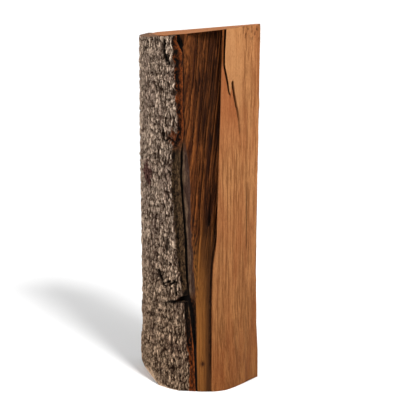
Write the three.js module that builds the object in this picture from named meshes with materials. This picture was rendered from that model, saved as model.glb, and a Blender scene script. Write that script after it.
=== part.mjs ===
// A split firewood log: a wedge riven from a trunk and sawn at both ends, with two slabs of bark on its
// round side. Millimetres, +Z up along the grain. The log stands on its sawn base, and its open split face
// looks along -Y.
import * as THREE from "three";

// The trunk that the log was split from, drawn round its pith.
const PITH = new THREE.Vector2(2, 32);
const WOOD_RADIUS = 68.4;
const BARK_RADIUS = 78;
const BARK_GAP = 0.6; // between the bark and the wood under it
const SWELL_WIDTH = 25; // degrees over which the wood swells out to its split corner

// The saw cuts: the base is flat, and the top cut climbs towards +X.
const LOG_HEIGHT = 397.5; // over the origin of this plan
const TOP_CLIMB = 0.105;
const BARK_TOP_SHORT = 1; // the bark stops this far below the top cut

// Where the two slabs of bark have cracked apart, and the chip knocked off the lower slab's foot.
const BREAK_HEIGHT_FRONT = 104;
const BREAK_HEIGHT_SIDE = 84;
const BREAK_GAP = 1.2;
const BREAK_GAPE = 3; // how much further the crack opens at the bark's front edge
const CHIP_HEIGHT = 19;
const CHIP_ANGLE = 183; // degrees round the pith, from +X
const CHIP_HALF_WIDTH = 33;

// Directions round the pith, in degrees, of the back edges of bark and wood.
const BARK_BACK_ANGLE = 150.6;
const WOOD_BACK_ANGLE = 150;
const BACK_NORMAL = new THREE.Vector2(0.4, 0.9); // out of the back split face, which is a little hollow

// Edges that wander along the grain, as [height, x, y] or, on the bark, [height, x]. They run straight
// between the heights.
const SPLIT_CORNER = [[0, -11.5, -44], [100, -13, -42.5], [140, -15, -39.5], [200, -18.5, -36],
  [255, -19.5, -35], [285, -25, -34], [400, -26.5, -32]];
const HOLLOW_MIDDLE = [[0, -4, -44.5], [90, -4.5, -41.5], [150, -4, -36], [250, -4, -28], [400, -7, -20.5]];
const STEP_FOOT = [[0, 3, -44], [115, 3.5, -42], [150, 5, -38.5], [170, 9, -35], [250, 10.5, -29.5],
  [400, 14, -22]];
const STEP_EDGE = [[0, 4, -44], [115, 4.6, -43.5], [150, 5.8, -42], [170, 9.5, -40], [250, 11.3, -37.5],
  [400, 15, -32]];
const FACE_MIDDLE = [[0, 24, -35.5], [35, 25.5, -30], [90, 31, -19.5], [200, 34, -16], [400, 36, -14.5]];
const THIN_EDGE = [[0, 57.8, 7], [36, 57.6, 7], [46, 56.4, 6.5], [130, 54.6, 5], [220, 55.4, 4],
  [400, 57.3, 3]];
const THIN_EDGE_DEPTH = 8;
const THIN_EDGE_LEAN = 1.8;
const BARK_OUTER_EDGE = [[0, -22], [30, -20.5], [60, -25], [100, -27], [114, -29], [150, -35], [195, -38],
  [240, -41], [262, -39], [290, -33.5], [335, -36.5], [400, -38.5]];
const BARK_INNER_EDGE = [[0, -13.5], [50, -15.5], [80, -19], [100, -21.5], [125, -25.5], [170, -27],
  [240, -32], [270, -31.5], [297, -28.5], [378, -29], [393, -37], [400, -38]];

// How finely the surfaces are divided.
const WOOD_RINGS = 26;
const UPPER_BARK_RINGS = 20;
const LOWER_BARK_RINGS = 9;
const ARC_STEPS = 18;

const degrees = THREE.MathUtils.radToDeg;
const radians = THREE.MathUtils.degToRad;

// The point of a wandering edge at a height: one number for x alone, or two for x and y.
function edgeAt(edge, height) {
  const last = edge.length - 1;
  const next = edge.findIndex(([z]) => z >= height);
  if (next <= 0) return edge[next === 0 ? 0 : last].slice(1);
  const [below, above] = [edge[next - 1], edge[next]];
  const share = (height - below[0]) / (above[0] - below[0]);
  return below.slice(1).map((value, i) => THREE.MathUtils.lerp(value, above[i + 1], share));
}

function pointAt(edge, height) {
  return new THREE.Vector2(...edgeAt(edge, height));
}

// The direction of a point round the pith, in degrees from 0 to 360.
function angleOf(point) {
  return (degrees(Math.atan2(point.y - PITH.y, point.x - PITH.x)) + 360) % 360;
}

// Low swells run round the trunk and along it.
function swells(angle, height) {
  return 0.7 * Math.sin(3 * radians(angle) + 0.9) + 0.6 * Math.sin(5 * radians(angle) + height / 62);
}

function barkRadius(angle, height) {
  return BARK_RADIUS + swells(angle, height);
}

function woodRadius(angle, height) {
  const corner = pointAt(SPLIT_CORNER, height);
  const plain = WOOD_RADIUS + swells(angle, height);
  const nearness = Math.max(0, 1 - (angleOf(corner) - angle) / SWELL_WIDTH);
  return plain + (corner.distanceTo(PITH) - plain) * nearness ** 2;
}

function barkInnerRadius(angle, height) {
  return woodRadius(angle, height) + BARK_GAP;
}

function roundPith(angle, radius) {
  const direction = new THREE.Vector2(Math.cos(radians(angle)), Math.sin(radians(angle)));
  return direction.multiplyScalar(radius).add(PITH);
}

// The direction round the pith, between 180 and 360, at which a radius crosses x on the front side.
function frontAngleAt(x, radius) {
  return 360 - degrees(Math.acos((x - PITH.x) / radius));
}

// Points along a round side, both ends included.
function arc(from, to, radiusAt, height) {
  return Array.from({ length: ARC_STEPS + 1 }, (_, i) => {
    const angle = THREE.MathUtils.lerp(from, to, i / ARC_STEPS);
    return roundPith(angle, radiusAt(angle, height));
  });
}

// Points strictly between the ends of a smooth curve through the given points.
function between(points, count) {
  const curve = new THREE.SplineCurve(points);
  return curve.getSpacedPoints(count + 1).slice(1, -1);
}

function woodOutline(height) {
  const corner = pointAt(SPLIT_CORNER, height);
  const round = arc(WOOD_BACK_ANGLE, angleOf(corner), woodRadius, height);
  const stepFoot = pointAt(STEP_FOOT, height);
  const stepEdge = pointAt(STEP_EDGE, height);
  const thinEdge = pointAt(THIN_EDGE, height);
  const thinBack = thinEdge.clone().add(new THREE.Vector2(-THIN_EDGE_LEAN, THIN_EDGE_DEPTH));
  const backHollow = 2 - 1.2 * Math.sin(height / 57 + 0.6);
  const backMiddle = thinBack.clone().lerp(round[0], 0.45).addScaledVector(BACK_NORMAL, -backHollow);
  return [
    ...round,
    ...between([corner, pointAt(HOLLOW_MIDDLE, height), stepFoot], 5),
    stepFoot,
    stepEdge,
    ...between([stepEdge, pointAt(FACE_MIDDLE, height), thinEdge], 9),
    thinEdge,
    thinBack,
    ...between([thinBack, backMiddle, round[0]], 9),
  ];
}

function barkOutline(height) {
  const outerEnd = frontAngleAt(edgeAt(BARK_OUTER_EDGE, height)[0], BARK_RADIUS);
  const cornerRadius = pointAt(SPLIT_CORNER, height).distanceTo(PITH);
  const innerEnd = frontAngleAt(edgeAt(BARK_INNER_EDGE, height)[0], cornerRadius);
  const outer = arc(BARK_BACK_ANGLE, outerEnd, barkRadius, height);
  const inner = arc(innerEnd, BARK_BACK_ANGLE, barkInnerRadius, height);
  return [
    ...outer,
    ...between([outer[ARC_STEPS], inner[0]], 2),
    ...inner,
    ...between([inner[ARC_STEPS], outer[0]], 2),
  ];
}

function topCut(point) {
  return LOG_HEIGHT + TOP_CLIMB * point.x;
}

// The crack between the slabs falls from the front edge to the side and gapes at the front.
function breakHeight(point) {
  const towardsFront = THREE.MathUtils.smoothstep(angleOf(point), 185, 245);
  const wave = 2.5 * Math.sin(radians(angleOf(point)) * 9);
  return THREE.MathUtils.lerp(BREAK_HEIGHT_SIDE, BREAK_HEIGHT_FRONT, towardsFront) + wave;
}

function halfBreak(point) {
  return BREAK_GAP / 2 + (BREAK_GAPE / 2) * THREE.MathUtils.smoothstep(angleOf(point), 234, 250);
}

function chippedFoot(point) {
  const away = Math.min(1, Math.abs(angleOf(point) - CHIP_ANGLE) / CHIP_HALF_WIDTH);
  return CHIP_HEIGHT * (1 - away * away);
}

// A closed solid through rings of one outline, from the surface footAt to the surface headAt. The outline is
// given the share of the way up.
function loft(outlineAt, levels, footAt, headAt) {
  const positions = [];
  const rings = [];
  for (let level = 0; level <= levels; level++) {
    const share = level / levels;
    const ring = outlineAt(share);
    rings.push(ring);
    for (const point of ring) {
      positions.push(point.x, point.y, THREE.MathUtils.lerp(footAt(point), headAt(point), share));
    }
  }
  const count = rings[0].length;
  const indices = [];
  for (let level = 0; level < levels; level++) {
    for (let i = 0; i < count; i++) {
      const [a, b] = [level * count + i, level * count + ((i + 1) % count)];
      indices.push(a, b, b + count, a, b + count, a + count);
    }
  }
  const head = levels * count;
  for (const [a, b, c] of THREE.ShapeUtils.triangulateShape(rings[0], [])) {
    indices.push(a, c, b);
  }
  for (const [a, b, c] of THREE.ShapeUtils.triangulateShape(rings[levels], [])) {
    indices.push(head + a, head + b, head + c);
  }
  const geometry = new THREE.BufferGeometry();
  geometry.setAttribute("position", new THREE.Float32BufferAttribute(positions, 3));
  geometry.setIndex(indices);
  geometry.computeVertexNormals();
  return geometry;
}

const wood = new THREE.MeshStandardMaterial({ color: 0xa8703f, roughness: 0.75, metalness: 0 });
const bark = new THREE.MeshStandardMaterial({ color: 0x7a6a5c, roughness: 0.95, metalness: 0 });

function part(name, geometry, material) {
  const mesh = new THREE.Mesh(geometry, material);
  mesh.name = name;
  return mesh;
}

function splitWood() {
  const outlineAt = (share) => woodOutline(share * LOG_HEIGHT);
  return part("split_wood", loft(outlineAt, WOOD_RINGS, () => 0, topCut), wood);
}

// Each slab's rings are spread over its own height, so its outline is read at the height where a ring lies.
function barkUpper() {
  const outlineAt = (share) => barkOutline(THREE.MathUtils.lerp(BREAK_HEIGHT_FRONT, LOG_HEIGHT, share));
  const footAt = (point) => breakHeight(point) + halfBreak(point);
  const headAt = (point) => topCut(point) - BARK_TOP_SHORT;
  return part("bark_upper", loft(outlineAt, UPPER_BARK_RINGS, footAt, headAt), bark);
}

function barkLower() {
  const outlineAt = (share) => barkOutline(share * BREAK_HEIGHT_FRONT);
  const headAt = (point) => breakHeight(point) - halfBreak(point);
  return part("bark_lower", loft(outlineAt, LOWER_BARK_RINGS, chippedFoot, headAt), bark);
}

const log = new THREE.Group();
log.add(splitWood(), barkUpper(), barkLower());

// The origin is the middle of the log's footprint, on the surface it stands on.
const middle = new THREE.Box3().setFromObject(log, true).getCenter(new THREE.Vector3());
log.position.set(-middle.x, -middle.y, 0);

export default log;
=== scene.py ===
"""A split firewood log on its sawn end: split wood, two saw cuts, and two slabs of cracked bark."""

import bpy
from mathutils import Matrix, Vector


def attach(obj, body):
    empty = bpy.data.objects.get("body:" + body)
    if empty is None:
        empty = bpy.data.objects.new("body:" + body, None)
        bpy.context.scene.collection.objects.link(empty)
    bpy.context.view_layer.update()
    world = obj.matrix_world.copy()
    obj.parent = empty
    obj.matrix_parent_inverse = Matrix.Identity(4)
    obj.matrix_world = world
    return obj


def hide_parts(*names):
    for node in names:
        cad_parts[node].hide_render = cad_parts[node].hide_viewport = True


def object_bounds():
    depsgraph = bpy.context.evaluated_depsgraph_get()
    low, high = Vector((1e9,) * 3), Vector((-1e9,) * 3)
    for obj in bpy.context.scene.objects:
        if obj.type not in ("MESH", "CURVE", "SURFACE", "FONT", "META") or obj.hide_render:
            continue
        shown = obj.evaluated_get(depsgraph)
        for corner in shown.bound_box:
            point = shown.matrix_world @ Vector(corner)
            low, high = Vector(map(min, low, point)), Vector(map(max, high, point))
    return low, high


bl_info = {
    "name": "Split Log",
    "version": (1, 0, 0),
    "blender": (4, 5, 0),
    "location": "3D View > Sidebar > Split Log",
    "description": "Builds a split firewood log with torn wood, saw cuts and flaky bark",
    "category": "Add Mesh",
}

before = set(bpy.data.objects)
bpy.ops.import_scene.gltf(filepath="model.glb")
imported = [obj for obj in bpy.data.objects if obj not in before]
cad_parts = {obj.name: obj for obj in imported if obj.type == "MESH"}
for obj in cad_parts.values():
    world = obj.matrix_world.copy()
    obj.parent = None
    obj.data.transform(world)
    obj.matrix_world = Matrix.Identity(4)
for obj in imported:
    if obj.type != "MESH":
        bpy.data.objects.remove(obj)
CAD_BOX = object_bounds()

import math

import bpy
import numpy as np
from bpy.props import FloatProperty, FloatVectorProperty, PointerProperty
from mathutils import Vector
from mathutils.bvhtree import BVHTree
from mathutils.geometry import delaunay_2d_cdt

# ---------------------------------------------------------------- sizes, in millimetres in the log's frame

MM = 0.001
TOTAL_HEIGHT = (CAD_BOX[1][2] - CAD_BOX[0][2]) / MM

PITH = (11.1, 18.9)  # the middle of the trunk in plan
CORE = (29.1, -3.1)  # a point in plan from which every side of the wood is in sight
BARK_RADIUS = 78.0
WOOD_BACK_ANGLE = 150.0
WOOD_BACK_RADIUS = 68.6
BARK_BACK_ANGLE = 150.6

# The wood's sharp edges as (height, x, y), and the bark's front edges as (height, x), along the frame's.
SPLIT_CORNER = ((0, -2.4, -57.1), (100, -3.9, -55.6), (140, -5.9, -52.6), (200, -9.4, -49.1),
                (255, -10.4, -48.1), (285, -15.9, -47.1), (400, -17.4, -45.1))
STEP_FOOT = ((0, 12.1, -57.1), (115, 12.6, -55.1), (150, 14.1, -51.6), (170, 18.1, -48.1),
             (250, 19.6, -42.6), (400, 23.1, -35.1))
STEP_EDGE = ((0, 13.1, -57.1), (115, 13.7, -56.6), (150, 14.9, -55.1), (170, 18.6, -53.1),
             (250, 20.4, -50.6), (400, 24.1, -45.1))
THIN_EDGE = ((0, 66.9, -6.1), (36, 66.7, -6.1), (46, 65.5, -6.6), (130, 63.7, -8.1),
             (220, 64.5, -9.1), (400, 66.4, -10.1))
THIN_EDGE_BACK = (-1.8, 8.0)  # from the thin edge to the back split face
BARK_OUTER_EDGE = ((0, -12.9), (30, -11.4), (60, -15.9), (100, -17.9), (114, -19.9), (150, -25.9),
                   (195, -28.9), (240, -31.9), (262, -31.4), (273, -30.6), (281, -28.2), (290, -25.2),
                   (300, -24.0), (325, -25.4), (340, -26.4), (365, -27.4), (385, -28.8), (400, -29.6))
BARK_INNER_EDGE = ((0, -4.4), (50, -6.4), (80, -9.9), (100, -12.4), (125, -16.4), (170, -17.9),
                   (240, -22.9), (270, -21.9), (288, -18.2), (330, -18.6), (378, -19.5), (393, -27.9),
                   (400, -28.9))

# The lifted splinter at the top of the face: its left edge, the notch at its tip and the crack under it.
SPLINTER_LEFT = ((329, 33.3), (333, 31.8), (343, 30.5), (354, 28.3), (362, 26.7), (378, 27.2), (404, 28.7))
SPLINTER_TIP = ((329, 33.3), (343, 35.4))
UNDER_CRACK = ((270, 44.8), (301, 43.3), (312, 41.6), (328, 38.3), (343, 36.1))
FINE_LINE_X = 52.4

# Slits as (distance between, length, half width, strength).
HOLLOW_SLITS = ((4.4, 300, 0.60, 1.0), (2.8, 190, 0.50, 1.0), (1.8, 110, 0.42, 0.85))
BACK_SLITS = ((8, 400, 0.8, 1.0), (4.4, 240, 0.6, 0.8), (2.6, 130, 0.5, 0.5))

WOOD_ROWS = 236
WOOD_COLUMNS = {"hidden": 26, "strip": 30, "hollow": 112, "step": 12, "face": 112, "thin": 10, "back": 88}
STRIP_FROM = 0.84  # the share of the round side at which the columns become fine
WOOD_MAP_SPAN = 0.80  # the share of the flat map that the wood's sides take, its ends taking the rest
BARK_MAP_SPAN = 0.86
CHECK_SPACING = 0.75  # radians round the pith between the drying checks of a saw cut


# ---------------------------------------------------------------- noise

def hashed(column, row, seed):
    """A fixed random number from 0 to 1 for each whole-numbered place."""
    mixed = column.astype(np.int64) * 374761393 + row.astype(np.int64) * 668265263 + seed * 1442695041
    for shift, factor in ((13, 1274126177), (16, 2246822519), (15, 3266489917)):
        mixed &= 0xFFFFFFFF
        mixed = (mixed ^ (mixed >> shift)) * factor
    return ((mixed & 0xFFFFFFFF) >> 8) / float(1 << 24)


def waves(x, y, seed):
    """Smooth noise from about -1 to 1, one wave per unit."""
    x, y = np.broadcast_arrays(np.asarray(x, float), np.asarray(y, float))
    column, row = np.floor(x), np.floor(y)
    across, up = x - column, y - row

    def pull(right, above):
        turn = hashed(column + right, row + above, seed) * math.tau
        return np.cos(turn) * (across - right) + np.sin(turn) * (up - above)

    blend_x = across * across * across * (across * (across * 6 - 15) + 10)
    blend_y = up * up * up * (up * (up * 6 - 15) + 10)
    low = pull(0, 0) * (1 - blend_x) + pull(1, 0) * blend_x
    high = pull(0, 1) * (1 - blend_x) + pull(1, 1) * blend_x
    return 1.5 * (low * (1 - blend_y) + high * blend_y)


def rough(x, y, seed, octaves=3):
    """Waves with finer and finer waves on them."""
    return sum(waves(x * 2 ** k, y * 2 ** k, seed + 17 * k) / 2 ** k for k in range(octaves))


def cells(x, y, seed, jitter=0.85):
    """Irregular cells, one per unit: distance to the border, a number per cell, and x from its middle."""
    x, y = np.broadcast_arrays(np.asarray(x, float), np.asarray(y, float))
    column, row = np.floor(x), np.floor(y)
    nearest, second = np.full(x.shape, 9.0), np.full(x.shape, 9.0)
    tone, aside = np.zeros(x.shape), np.zeros(x.shape)
    for right in (-1, 0, 1):
        for above in (-1, 0, 1):
            at_x = column + right + 0.5 + jitter * (hashed(column + right, row + above, seed) - 0.5)
            at_y = row + above + 0.5 + jitter * (hashed(column + right, row + above, seed + 1) - 0.5)
            away = np.hypot(x - at_x, y - at_y)
            closer = away < nearest
            second = np.where(closer, nearest, np.minimum(second, away))
            tone = np.where(closer, hashed(column + right, row + above, seed + 2), tone)
            aside = np.where(closer, x - at_x, aside)
            nearest = np.minimum(nearest, away)
    return second - nearest, tone, aside


def ease(low, high, value):
    """0 below low, 1 above high, and smooth between. It falls instead where low is the larger."""
    share = np.clip((value - low) / (high - low), 0, 1)
    return share * share * (3 - 2 * share)


def hump(value, middle, half_width):
    """1 at middle, falling smoothly to 0 at half_width to either side."""
    share = np.clip(1 - np.abs(value - middle) / half_width, 0, 1)
    return share * share * (3 - 2 * share)


def along(edge, height, which=1):
    """An edge's x, or its y with which=2, at each height."""
    points = np.array(edge, float)
    return np.interp(height, points[:, 0], points[:, which])


def plan_line(edge, heights):
    """An edge's x and y at each height."""
    return np.stack([along(edge, heights, k) for k in (1, 2)], axis=-1)


def round_pith(angle, radius):
    """The x and y at an angle round the pith, in degrees, and a distance from it."""
    turn = np.radians(angle)
    return PITH[0] + radius * np.cos(turn), PITH[1] + radius * np.sin(turn)


def angle_at(x, y):
    """The angle round the pith, in degrees from 0 to 360."""
    return np.degrees(np.arctan2(y - PITH[1], x - PITH[0])) % 360


# ---------------------------------------------------------------- reading the frame

def surface_of(*names):
    """A tree for casting rays at the frame's solids, in millimetres."""
    corners, faces = [], []
    for name in names:
        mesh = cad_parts[name].data
        first = len(corners)
        corners += [vertex.co / MM for vertex in mesh.vertices]
        faces += [[first + index for index in face.vertices] for face in mesh.polygons]
    return BVHTree.FromPolygons(corners, faces)


def cut_plane(tree):
    """The top saw cut as (height at the origin, climb along x, climb along y)."""
    spots = ((-20.0, 10.0), (45.0, -5.0), (5.0, 25.0))
    heights = [tree.ray_cast(Vector((x, y, 500)), Vector((0, 0, -1)))[0].z for x, y in spots]
    return np.linalg.solve(np.array([(1.0, x, y) for x, y in spots]), np.array(heights))


def smoothed(rows, width):
    """Rows blurred up and down over about width rows, with the end rows held."""
    reach = int(3 * width)
    steps = np.arange(-reach, reach + 1)
    weights = np.exp(-0.5 * (steps / width) ** 2)
    padded = np.concatenate((2 * rows[:1] - rows[reach:0:-1], rows, 2 * rows[-1:] - rows[-2:-reach - 2:-1]))
    return sum(w * padded[k:k + len(rows)] for k, w in enumerate(weights)) / weights.sum()


def resampled(rows, count):
    """The same rows, count of them, with straight runs between the old ones."""
    place = np.linspace(0, len(rows) - 1, count)
    below = np.minimum(place.astype(int), len(rows) - 2)
    share = (place - below)[:, None]
    return rows[below] * (1 - share) + rows[below + 1] * share


# ---------------------------------------------------------------- building meshes

def loop_faces(rows, columns):
    """Four-cornered faces round a closed tube of rows by columns."""
    index = np.arange(rows * columns).reshape(rows, columns)
    right = np.roll(index, -1, axis=1)
    return np.stack((index[:-1], right[:-1], right[1:], index[1:]), axis=-1).reshape(-1, 4)


def lid_faces(outline, spacing, seed):
    """Triangles inside a closed outline in plan, and the places of the points that they add inside it."""
    low, high = outline.min(axis=0), outline.max(axis=0)
    count = np.ceil((high - low) / spacing).astype(int)
    column, row = [part.ravel().astype(float) for part in np.meshgrid(*[np.arange(n) for n in count])]
    shift_x = 0.5 + 0.5 * (hashed(column, row, seed) - 0.5)
    shift_y = 0.5 + 0.5 * (hashed(column, row, seed + 1) - 0.5)
    spots = low + np.stack((column + shift_x, row + shift_y), axis=1) * spacing
    ends = np.roll(outline, -1, axis=0)
    inside = np.zeros(len(spots), bool)
    clearance = np.full(len(spots), np.inf)
    for start, end in zip(outline, ends):
        run = end - start
        crosses = (start[1] > spots[:, 1]) != (end[1] > spots[:, 1])
        if crosses.any():
            at = start[0] + (spots[:, 1] - start[1]) * run[0] / (run[1] if run[1] else 1e-9)
            inside ^= crosses & (spots[:, 0] < at)
        share = np.clip(((spots - start) @ run) / max(run @ run, 1e-9), 0, 1)
        clearance = np.minimum(clearance, np.hypot(*(spots - start - share[:, None] * run).T))
    spots = spots[inside & (clearance > 0.45 * spacing)]
    points = [Vector(point) for point in np.concatenate((outline, spots))]
    result = delaunay_2d_cdt(points, [], [list(range(len(outline)))], 1, 1e-7, True)
    origins = [sources[0] if sources else -1 for sources in result[3]]
    if len(result[0]) != len(points) or -1 in origins:
        raise RuntimeError(f"a lid's outline crosses itself: {len(result[0])} points from {len(points)}")
    return np.array([[origins[index] for index in face] for face in result[2]]), spots


def facing(triangles, points, upwards):
    """The triangles turned so that all of them look up, or all down, in plan."""
    a, b, c = (points[triangles[:, k]] for k in range(3))
    turn = (b[:, 0] - a[:, 0]) * (c[:, 1] - a[:, 1]) - (b[:, 1] - a[:, 1]) * (c[:, 0] - a[:, 0])
    wrong = (turn > 0) != upwards
    return np.where(wrong[:, None], triangles[:, ::-1], triangles)


class Lid:
    """One end of a tube: triangles over its rim and inner points, their flat map, finish and traits.

    The triangles count the rim's points first. Where sawn is true, a triangle has the second material.
    """

    def __init__(self, triangles, inner, flat, sawn, traits):
        self.triangles = triangles
        self.inner = inner
        self.flat = flat
        self.sawn = np.broadcast_to(sawn, len(triangles))
        self.traits = traits


def on_map(places, corner, size, map_corner, map_size):
    """Places in a box, by its low corner and size, moved to a box on the flat map."""
    return (places - corner) / size * map_size + map_corner


def fill_mesh(mesh, points, quads, triangles):
    """Gives a mesh its points and its smooth faces, the four-cornered ones first."""
    corners = np.concatenate((quads.ravel(), triangles.ravel())).astype(np.int32)
    sizes = np.concatenate((np.full(len(quads), 4), np.full(len(triangles), 3))).astype(np.int32)
    mesh.vertices.add(len(points))
    mesh.vertices.foreach_set("co", (points * MM).astype(np.float32).ravel())
    mesh.loops.add(len(corners))
    mesh.loops.foreach_set("vertex_index", corners)
    mesh.polygons.add(len(sizes))
    mesh.polygons.foreach_set("loop_start", (np.cumsum(sizes) - sizes).astype(np.int32))
    mesh.polygons.foreach_set("use_smooth", np.ones(len(sizes), bool))


def make_piece(name, sides, around, span, lids, traits, materials, node):
    """A tube closed by two lids, as an object with crisp rims, traits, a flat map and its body.

    The sides are rows of points, and around and span lay them out on the flat map.
    """
    rows, columns = sides.shape[:2]
    quads = loop_faces(rows, columns)
    rims = np.arange(columns) + np.array([[0], [(rows - 1) * columns]])
    points = np.concatenate((sides.reshape(-1, 3), *(lid.inner for lid in lids)))
    starts = (rows * columns, rows * columns + len(lids[0].inner))
    triangles = np.concatenate([np.concatenate((rim, start + np.arange(len(lid.inner))))[lid.triangles]
                                for rim, start, lid in zip(rims, starts, lids)])
    places = np.concatenate((tube_places(rows, columns, around, span, quads),
                             *(lid.flat[lid.triangles].reshape(-1, 2) for lid in lids)))
    mesh = bpy.data.meshes.new(name)
    fill_mesh(mesh, points, quads, triangles)
    for material in materials:
        mesh.materials.append(material)
    finishes = np.concatenate((np.zeros(len(quads)), *(lid.sawn for lid in lids))).astype(np.int32)
    mesh.polygons.foreach_set("material_index", finishes)
    mesh.update(calc_edges=True)
    ends = np.empty(2 * len(mesh.edges), np.int32)
    mesh.edges.foreach_get("vertices", ends)
    crisp = mesh.attributes.new("sharp_edge", "BOOLEAN", "EDGE")
    crisp.data.foreach_set("value", np.isin(ends, rims).reshape(-1, 2).all(axis=1))
    for trait, values in traits.items():
        on_lids = [np.full(len(lid.inner), lid.traits.get(trait, 0.0)) for lid in lids]
        attribute = mesh.attributes.new(trait, "FLOAT", "POINT")
        attribute.data.foreach_set("value", np.concatenate((values.ravel(), *on_lids)).astype(np.float32))
    flat = mesh.uv_layers.new(name="OFBake")
    flat.uv.foreach_set("vector", places.astype(np.float32).ravel())
    if mesh.validate():
        raise RuntimeError(f"{name} has faulty faces")
    piece = bpy.data.objects.new(name, mesh)
    bpy.context.scene.collection.objects.link(piece)
    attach(piece, "root")
    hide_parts(node)


# ---------------------------------------------------------------- the wood's shape

def wood_guides(heights):
    """Places near the wood's sides at each height, column by column, and the name of each column's side."""
    lines = (SPLIT_CORNER, STEP_FOOT, STEP_EDGE, THIN_EDGE)
    corner, foot, edge, thin = (plan_line(line, heights) for line in lines)
    behind = thin + np.array(THIN_EDGE_BACK)
    last_angle = angle_at(*corner.T)[:, None]
    shares = np.concatenate((np.linspace(0, STRIP_FROM, WOOD_COLUMNS["hidden"], endpoint=False),
                             np.linspace(STRIP_FROM, 1, WOOD_COLUMNS["strip"], endpoint=False)))
    reach = np.linalg.norm(corner - np.array(PITH), axis=1)[:, None]
    angles = WOOD_BACK_ANGLE + (last_angle - WOOD_BACK_ANGLE) * shares
    sides = [np.stack(round_pith(angles, reach), axis=-1)]
    back_corner = np.broadcast_to(round_pith(WOOD_BACK_ANGLE, WOOD_BACK_RADIUS), corner.shape)
    runs = (("hollow", corner, foot), ("step", foot, edge), ("face", edge, thin), ("thin", thin, behind),
            ("back", behind, back_corner))
    for name, start, end in runs:
        share = np.linspace(0, 1, WOOD_COLUMNS[name], endpoint=False)[None, :, None]
        sides.append(start[:, None] * (1 - share) + end[:, None] * share)
    return np.concatenate(sides, axis=1), np.repeat(list(WOOD_COLUMNS), list(WOOD_COLUMNS.values()))


def wood_base(tree, plane):
    """The frame's wood as rows of points from base to top, and the name of each column's side."""
    shares = np.linspace(0, 1, 64)
    guides, names = wood_guides(shares * TOTAL_HEIGHT)
    tops = plane[0] + guides[..., 0] * plane[1] + guides[..., 1] * plane[2]
    found = np.empty(guides.shape)
    for row, share in enumerate(shares):
        for column, (x, y) in enumerate(guides[row]):
            height = np.clip(share, 0.003, 0.997) * tops[row, column]
            core = Vector((CORE[0], CORE[1], height))
            inwards = (core - Vector((x, y, height))).normalized()
            hit = tree.ray_cast(core - inwards * 150, inwards)[0]
            if hit is None:
                raise RuntimeError("the frame's wood has a gap in its side")
            found[row, column] = hit.x, hit.y
    x, y = (resampled(smoothed(found[..., k], 1.3), WOOD_ROWS) for k in (0, 1))
    tops = plane[0] + x[-1] * plane[1] + y[-1] * plane[2]
    return x, y, np.linspace(0, 1, WOOD_ROWS)[:, None] * tops, names


def outward(x, y, blur):
    """The directions out of a closed loop in plan, averaged over blur columns to either side."""
    run_x = sum(np.roll(x, -k, axis=1) - np.roll(x, k, axis=1) for k in range(1, blur + 1))
    run_y = sum(np.roll(y, -k, axis=1) - np.roll(y, k, axis=1) for k in range(1, blur + 1))
    length = np.maximum(np.hypot(run_x, run_y), 1e-6)
    return run_y / length, -run_x / length


def cut_towards_core(x, y, cut):
    """The loops moved towards the core, so that the surface sinks by cut without folding over."""
    out_x, out_y = outward(x, y, 3)
    way_x, way_y = x - CORE[0], y - CORE[1]
    reach = np.hypot(way_x, way_y)
    squareness = (out_x * way_x + out_y * way_y) / reach
    kept = 1 - cut / np.clip(squareness, 0.6, 1) / reach
    return CORE[0] + way_x * kept, CORE[1] + way_y * kept


def torn_slivers(x, z, seed, across, length):
    """Long torn slivers of wood: a random number for each, and how far each point is across its own."""
    wander = 0.35 * across * rough(x / (2.5 * across), z / length, seed + 50, 2)
    _, tone, aside = cells((x + wander) / across, z / length, seed)
    return tone, aside


def slits_along(x, z, seed, sizes):
    """Long crisp slits along the grain, from 0 to 1, for each of the sizes."""
    deepest = np.zeros_like(x)
    for number, (across, length, half, strength) in enumerate(sizes):
        pulled = waves((x + 0.5 * waves(z / 21, number, seed + 9)) / across, z / length, seed + 3 * number)
        gone = ease(-0.45, -0.05, waves(x / (1.3 * across), z / (0.3 * length), seed + 40 + number))
        deepest = np.maximum(deepest, strength * gone * (1 - ease(0, 2.2 * half / across, np.abs(pulled))))
    return deepest


def black_edge(x, edge, width):
    """A crack of a width along the left of an edge."""
    return ease(edge - width - 0.3, edge - width + 0.2, x) * ease(edge + 0.3, edge - 0.2, x)


def splinter_shape(x, z):
    """Where the face is a layer lower round the lifted splinter, and the cracks at its edge, which are
    painted black as shadow.
    """
    soft = 0.35
    left = along(SPLINTER_LEFT, z) + 0.2 * waves(z / 8, 0, 72)
    tip = along(SPLINTER_TIP, z)
    under = along(UNDER_CRACK, z) + 0.25 * waves(z / 9, 0, 71)
    right_of_under = ease(under + soft, under - soft, x)
    beside = ease(left + soft, left - soft, x) * ease(328, 330, z)
    notch = ease(tip - soft, tip + soft, x) * right_of_under * (z > 329) * (z < 343)
    lower = np.clip(beside + notch + right_of_under * (z <= 329), 0, 1) * ease(252, 318, z)
    left_width = np.interp(z, (326, 340, 362, 404), (0.0, 1.1, 1.6, 2.3))
    under_width = np.interp(z, (284, 305, 330, 343), (0.0, 0.6, 1.0, 1.7))
    left_crack = black_edge(x, left, left_width) * (z > 326)
    under_crack = black_edge(x, under, under_width) * (z > 284) * (z < 343.5)
    return lower, np.clip(left_crack + 0.85 * under_crack, 0, 1)


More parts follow.
